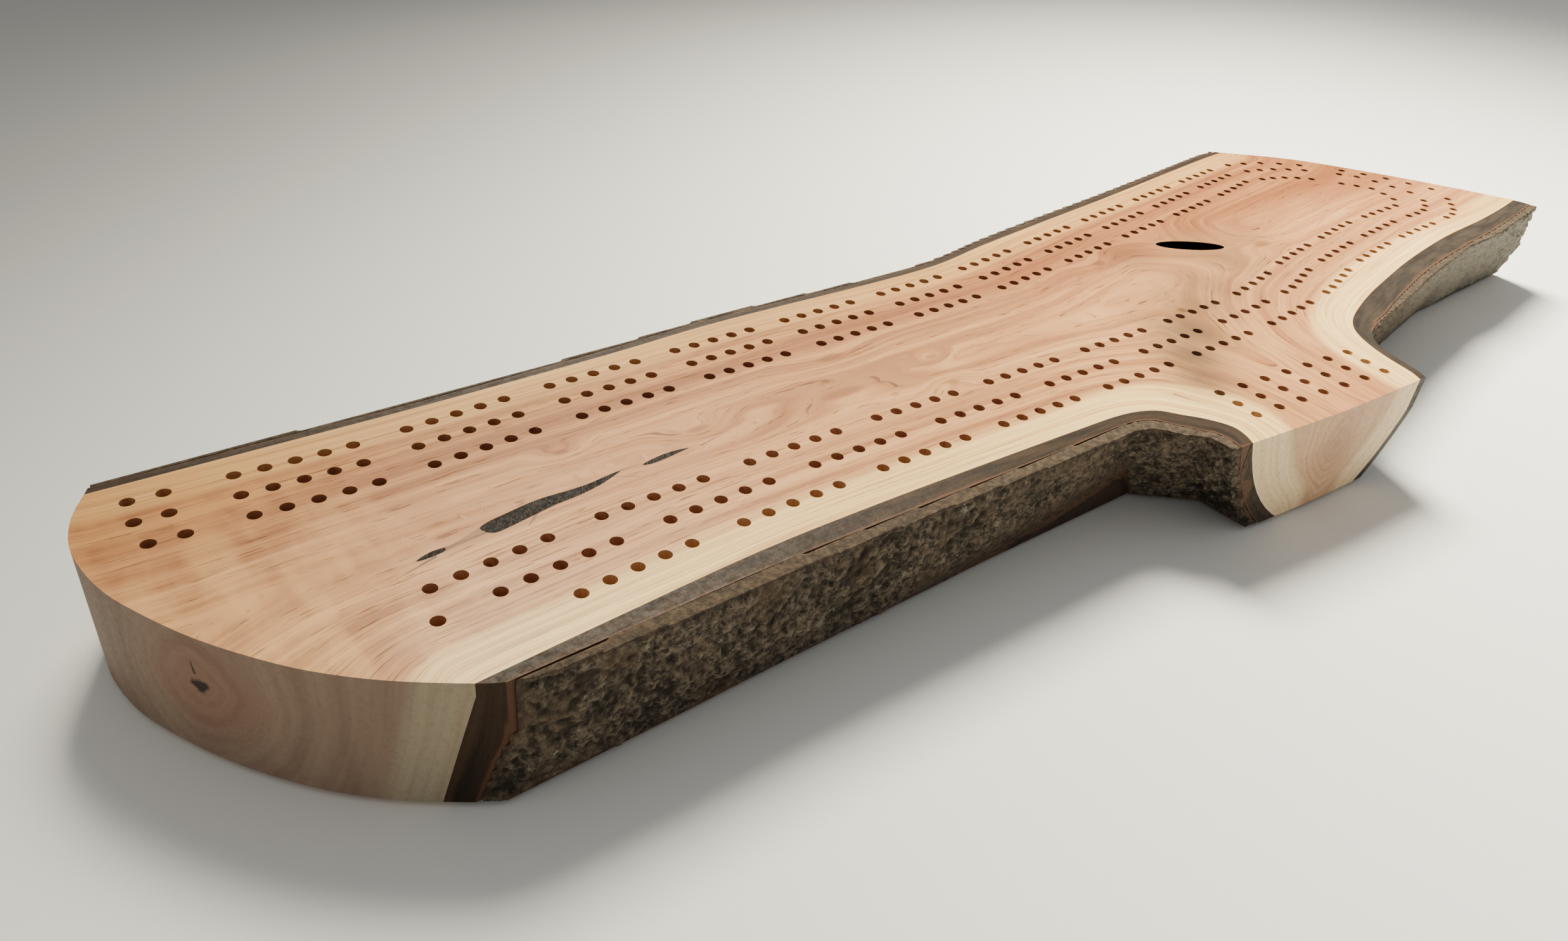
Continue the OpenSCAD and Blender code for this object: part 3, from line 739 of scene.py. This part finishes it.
# %% Crust finish
crust_finish, tree, shader = new_material("crust", Specular_IOR_Level=0.25)
height, free_share = attribute(tree, "crust")[:2]
place, (px, py, pz) = object_place(tree)
patch = wire(tree, "TexNoise", place, None, 55.0, 3.0, 0.6).outputs[0]
scale_noise = wire(tree, "TexNoise", place, None, 560.0, 5.0, 0.75).outputs[0]
lichen = wire(tree, "TexNoise", place, None, 190.0, 4.0, 0.75).outputs[0]
crust_color = tint(tree, fade(tree, scale_noise, 0.38, 0.66), srgb(38, 32, 27), srgb(122, 108, 91))
crust_color = tint(tree, times(tree, fade(tree, patch, 0.50, 0.68), 0.5), crust_color,
                   srgb(96, 78, 60))
# Painted shade in the pits and painted light on the tips: the colour follows how far each point was
# pushed in or out.
crust_color = tint(tree, times(tree, fade(tree, height, -0.2, -1.3), 0.85), crust_color,
                   srgb(26, 21, 17))
crust_color = tint(tree, times(tree, fade(tree, height, 0.3, 1.6), 0.45), crust_color,
                   srgb(126, 114, 96))
lichen_mask = calc(tree, "MULTIPLY", fade(tree, lichen, 0.60, 0.70), free_share)
crust_color = tint(tree, times(tree, lichen_mask, 0.6), crust_color, srgb(152, 148, 128))
# Painted light: the crust towards the far end is tinted paler grey.
painted_far_light = calc(tree, "MULTIPLY", fade(tree, px, 0.08, 0.2), free_share)
crust_color = tint(tree, times(tree, painted_far_light, 0.45), crust_color, srgb(170, 164, 152))
sawn = calc(tree, "SUBTRACT", 1.0, free_share)
sawn_color = tint(tree, fade(tree, scale_noise, 0.35, 0.65), srgb(52, 40, 32), srgb(82, 66, 50))
crust_color = tint(tree, times(tree, sawn, 0.8), crust_color, sawn_color)
join(tree, shader, "Base Color", crust_color)
join(tree, shader, "Roughness", fade(tree, scale_noise, 0.2, 0.8, 0.75, 0.95))
relief(tree, shader, calc(tree, "ADD", scale_noise, times(tree, lichen, 0.6)), 0.0007, 0.9)
CRUST_SIZES = {"front_outer_bark": (0.6, 1.6), "far_outer_bark": (0.6, 1.6),
               "rear_outer_bark": (0.8, 7.0)}
for node, (voxel, calm) in CRUST_SIZES.items():
    piece = rough_crust(node, voxel * MM, calm * MM)
    piece.data.materials.append(crust_finish)
    keep_as(piece, node, "board")

# %% [markdown]
# ## The dark inclusion and the eye knot
#
# A dark lens in the face is old bark that the tree grew over. It is near black, with short slanted
# dashes across it, like the teeth of a comb. The eye knot is the end of a dead branch: black at
# its two tips, brown between. The CAD slab has a skin of no thickness over the knot's pocket, and
# the timber copies it.

# %% Dark inclusion
dark_fill, tree, shader = new_material("dark_fill", Specular_IOR_Level=0.1)
place, (px, py, pz) = object_place(tree)
wobble = wire(tree, "TexNoise", place, None, 260.0, 2.0, 0.5).outputs[0]
leaning = calc(tree, "ADD", px, times(tree, py, -0.75))
leaf = calc(tree, "ADD", times(tree, leaning, 640.0), times(tree, wobble, 1.6))
leaf_mask = fade(tree, calc(tree, "PINGPONG", leaf, 0.5), 0.34, 0.46)
broken = noise_at(tree, times(tree, px, 700.0), times(tree, py, 420.0), 0.0, 2.0)
leaf_mask = calc(tree, "MULTIPLY", leaf_mask, fade(tree, broken, 0.38, 0.52))
fill_noise = wire(tree, "TexNoise", place, None, 900.0, 3.0, 0.7).outputs[0]
fill_color = tint(tree, fade(tree, fill_noise, 0.35, 0.7), srgb(16, 11, 9), srgb(32, 24, 20))
fill_color = tint(tree, times(tree, leaf_mask, 0.8), fill_color, srgb(88, 73, 62))
join(tree, shader, "Base Color", fill_color)
join(tree, shader, "Roughness", fade(tree, fill_noise, 0.3, 0.7, 0.45, 0.8))
relief(tree, shader, calc(tree, "ADD", leaf_mask, fill_noise), 0.0004, 0.6)

# %% Eye knot
KNOT_TURN = math.radians(-31)
eye_knot, tree, shader = new_material("eye_knot", Specular_IOR_Level=0.2)
place = object_place(tree)[0]
kx, ky = attribute(tree, "eye")[:2]
knot_noise = wire(tree, "TexNoise", place, None, 350.0, 3.0, 0.65).outputs[0]
tip = calc(tree, "ADD", calc(tree, "ABSOLUTE", kx), times(tree, knot_noise, 0.004))
knot_streak = noise_at(tree, times(tree, kx, 120.0), times(tree, ky, 900.0), 0.0, 3.0, 0.6)
knot_color = tint(tree, fade(tree, knot_streak, 0.3, 0.7), srgb(96, 62, 42), srgb(146, 104, 76))
knot_color = tint(tree, fade(tree, tip, 0.0085, 0.0125), knot_color, srgb(28, 21, 18))
rim_value = calc(tree, "ADD", calc(tree, "ABSOLUTE", ky), times(tree, knot_noise, 0.001))
knot_color = tint(tree, times(tree, fade(tree, rim_value, 0.0032, 0.0042), 0.8), knot_color,
                  srgb(44, 31, 24))
join(tree, shader, "Base Color", knot_color)
join(tree, shader, "Roughness", fade(tree, knot_noise, 0.3, 0.7, 0.45, 0.7))
relief(tree, shader, knot_streak, 0.0003, 0.6)
for node, finish, slot in (("crack_fill", dark_fill, "dark_fill"), ("eye_knot", eye_knot, "knot")):
    piece = bench_copy(node)
    away = coordinates(piece) - np.array([KNOT_MIDDLE[0] * MM, KNOT_MIDDLE[1] * MM, 0.0])
    eye_along = away[:, 0] * math.cos(KNOT_TURN) + away[:, 1] * math.sin(KNOT_TURN)
    eye_across = away[:, 1] * math.cos(KNOT_TURN) - away[:, 0] * math.sin(KNOT_TURN)
    store(piece, "eye", eye_along, eye_across)
    print(node, "reaches", round(float(np.abs(eye_along).max()) / MM, 1), "mm along")
    piece.data.materials.append(finish)
    smooth_by_angle(piece, 35)
    keep_as(piece, node, "board")

# %% [markdown]
# ## Underneath
#
# Five rubber pads carry the board. A brass plate swings on one screw and closes the pocket that
# stores nine pegs. These keep their CAD shapes, and get turned, brushed and moulded finishes.

# %% Rubber, brass and peg finishes
rubber, tree, shader = new_material("rubber")
place = object_place(tree)[0]
dust = wire(tree, "TexNoise", place, None, 500.0, 3.0, 0.6).outputs[0]
join(tree, shader, "Base Color", tint(tree, fade(tree, dust, 0.4, 0.7), srgb(42, 42, 43),
                                      srgb(62, 61, 60)))
join(tree, shader, "Roughness", fade(tree, dust, 0.3, 0.7, 0.65, 0.85))
relief(tree, shader, dust, 0.0002, 0.5)

brass, tree, shader = new_material("brass", Metallic=1.0)
place, (px, py, pz) = object_place(tree)
brushed = noise_at(tree, times(tree, px, 60.0), times(tree, py, 5000.0), 0.0, 2.0, 0.6)
tarnish = wire(tree, "TexNoise", place, None, 90.0, 3.0, 0.6).outputs[0]
brass_color = tint(tree, fade(tree, tarnish, 0.35, 0.75), srgb(214, 176, 104), srgb(176, 136, 78))
join(tree, shader, "Base Color", tint(tree, times(tree, brushed, 0.2), brass_color,
                                      srgb(236, 206, 142)))
join(tree, shader, "Roughness", fade(tree, brushed, 0.25, 0.75, 0.24, 0.42))
relief(tree, shader, brushed, 0.00004, 0.4)

PEG_COLORS = {"red": ((150, 38, 32), (188, 66, 52)), "blue": ((34, 62, 120), (60, 94, 158)),
              "green": ((36, 92, 54), (70, 132, 82))}
for color_name, (deep, light) in PEG_COLORS.items():
    stained, tree, shader = new_material("peg_" + color_name, Coat_Weight=0.3,
                                         Coat_Roughness=0.25)
    place, (px, py, pz) = object_place(tree)
    peg_grain = noise_at(tree, times(tree, px, 90.0), times(tree, py, 2200.0),
                         times(tree, pz, 2200.0), 3.0, 0.6)
    join(tree, shader, "Base Color", tint(tree, fade(tree, peg_grain, 0.3, 0.7), srgb(*deep),
                                          srgb(*light)))
    join(tree, shader, "Roughness", fade(tree, peg_grain, 0.3, 0.7, 0.38, 0.55))
    relief(tree, shader, peg_grain, 0.00008, 0.5)
    for letter in "abc":
        name = "peg_" + color_name + "_" + letter
        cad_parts[name].data.materials.clear()
        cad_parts[name].data.materials.append(stained)

for name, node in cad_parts.items():
    if name.startswith("pad_"):
        node.data.materials.clear()
        node.data.materials.append(rubber)
    if name in ("store_cover", "cover_screw"):
        node.data.materials.clear()
        node.data.materials.append(brass)
print("pegs", len(PEG_COLORS) * 3)

# %% [markdown]
# ## Floor, light and camera
#
# The board stands on a pale grey sheet. One window is behind and above it, so that the face is
# bright, the bark is in shade and the shadow falls forwards. It is made of two panes that aim at
# different places, so the light fades towards the far left. The sheet's colour also darkens
# towards the far left, as painted shade. A dim room fills the rest.

# %% Floor
bpy.ops.object.select_all(action="DESELECT")
SHEET_SIZE = 12.0
bpy.ops.mesh.primitive_plane_add(size=SHEET_SIZE, location=(0, 0, cad_low[2]))
floor = bpy.context.active_object
floor.name = "studio_floor"
only(floor)
bpy.ops.object.transform_apply(location=True)
paper, tree, shader = new_material("studio_paper", Specular_IOR_Level=0.2)
place, parts = object_place(tree)
tooth = wire(tree, "TexNoise", place, None, 700.0, 3.0, 0.6).outputs[0]
# The sheet is painted darker towards the far left: painted shade where the light falls off.
across_floor = calc(tree, "SUBTRACT", parts[1], times(tree, parts[0], 0.35))
paper_with_painted_shade = tint(tree, fade(tree, across_floor, 0.45, 0.03), srgb(178, 178, 176),
                   srgb(236, 236, 233))
join(tree, shader, "Base Color", paper_with_painted_shade)
join(tree, shader, "Roughness", fade(tree, tooth, 0.2, 0.8, 0.75, 0.9))
relief(tree, shader, tooth, 0.0001, 0.3)
floor.data.materials.append(paper)

# %% Light
def soft_light(name, place, aim, width, height, power, color, spread):
    """A broad area light that faces a point, with its spread in degrees."""
    lamp = bpy.data.lights.new(name, "AREA")
    lamp.shape = "RECTANGLE"
    lamp.size = width
    lamp.size_y = height
    lamp.energy = power
    lamp.color = color
    lamp.spread = math.radians(spread)
    holder = bpy.data.objects.new(name, lamp)
    holder.location = place
    holder.rotation_euler = (Vector(aim) - Vector(place)).to_track_quat("-Z", "Y").to_euler()
    bpy.context.scene.collection.objects.link(holder)


WINDOW = (0.30, 0.65, 1.0)
DAYLIGHT = (1.0, 0.95, 0.76)
PANE = 0.5
soft_light("near_pane", WINDOW, (0.05, -0.24, 0), PANE, PANE, 5.0, DAYLIGHT, 66)
soft_light("far_pane", WINDOW, (0.40, -0.15, 0), PANE, PANE, 8.0, DAYLIGHT, 60)
world = bpy.data.worlds.new("studio_air")
bpy.context.scene.world = world
world.use_nodes = True
world.node_tree.nodes["Background"].inputs["Color"].default_value = (1.0, 0.99, 0.94, 1.0)
world.node_tree.nodes["Background"].inputs["Strength"].default_value = 0.44

# %% Camera
CAMERA_PLACE = (-0.28854, -0.18607, 0.18297)
CAMERA_TURN = (56.2366, -5.1067, -38.8604)
CAMERA_LENS = 26.047
camera_data = bpy.data.cameras.new("camera")
camera_data.lens = CAMERA_LENS
camera_data.sensor_width = 36.0
camera_data.clip_start = 0.01
camera = bpy.data.objects.new("camera", camera_data)
camera.location = CAMERA_PLACE
camera.rotation_euler = [math.radians(a) for a in CAMERA_TURN]
bpy.context.scene.collection.objects.link(camera)
bpy.context.scene.camera = camera
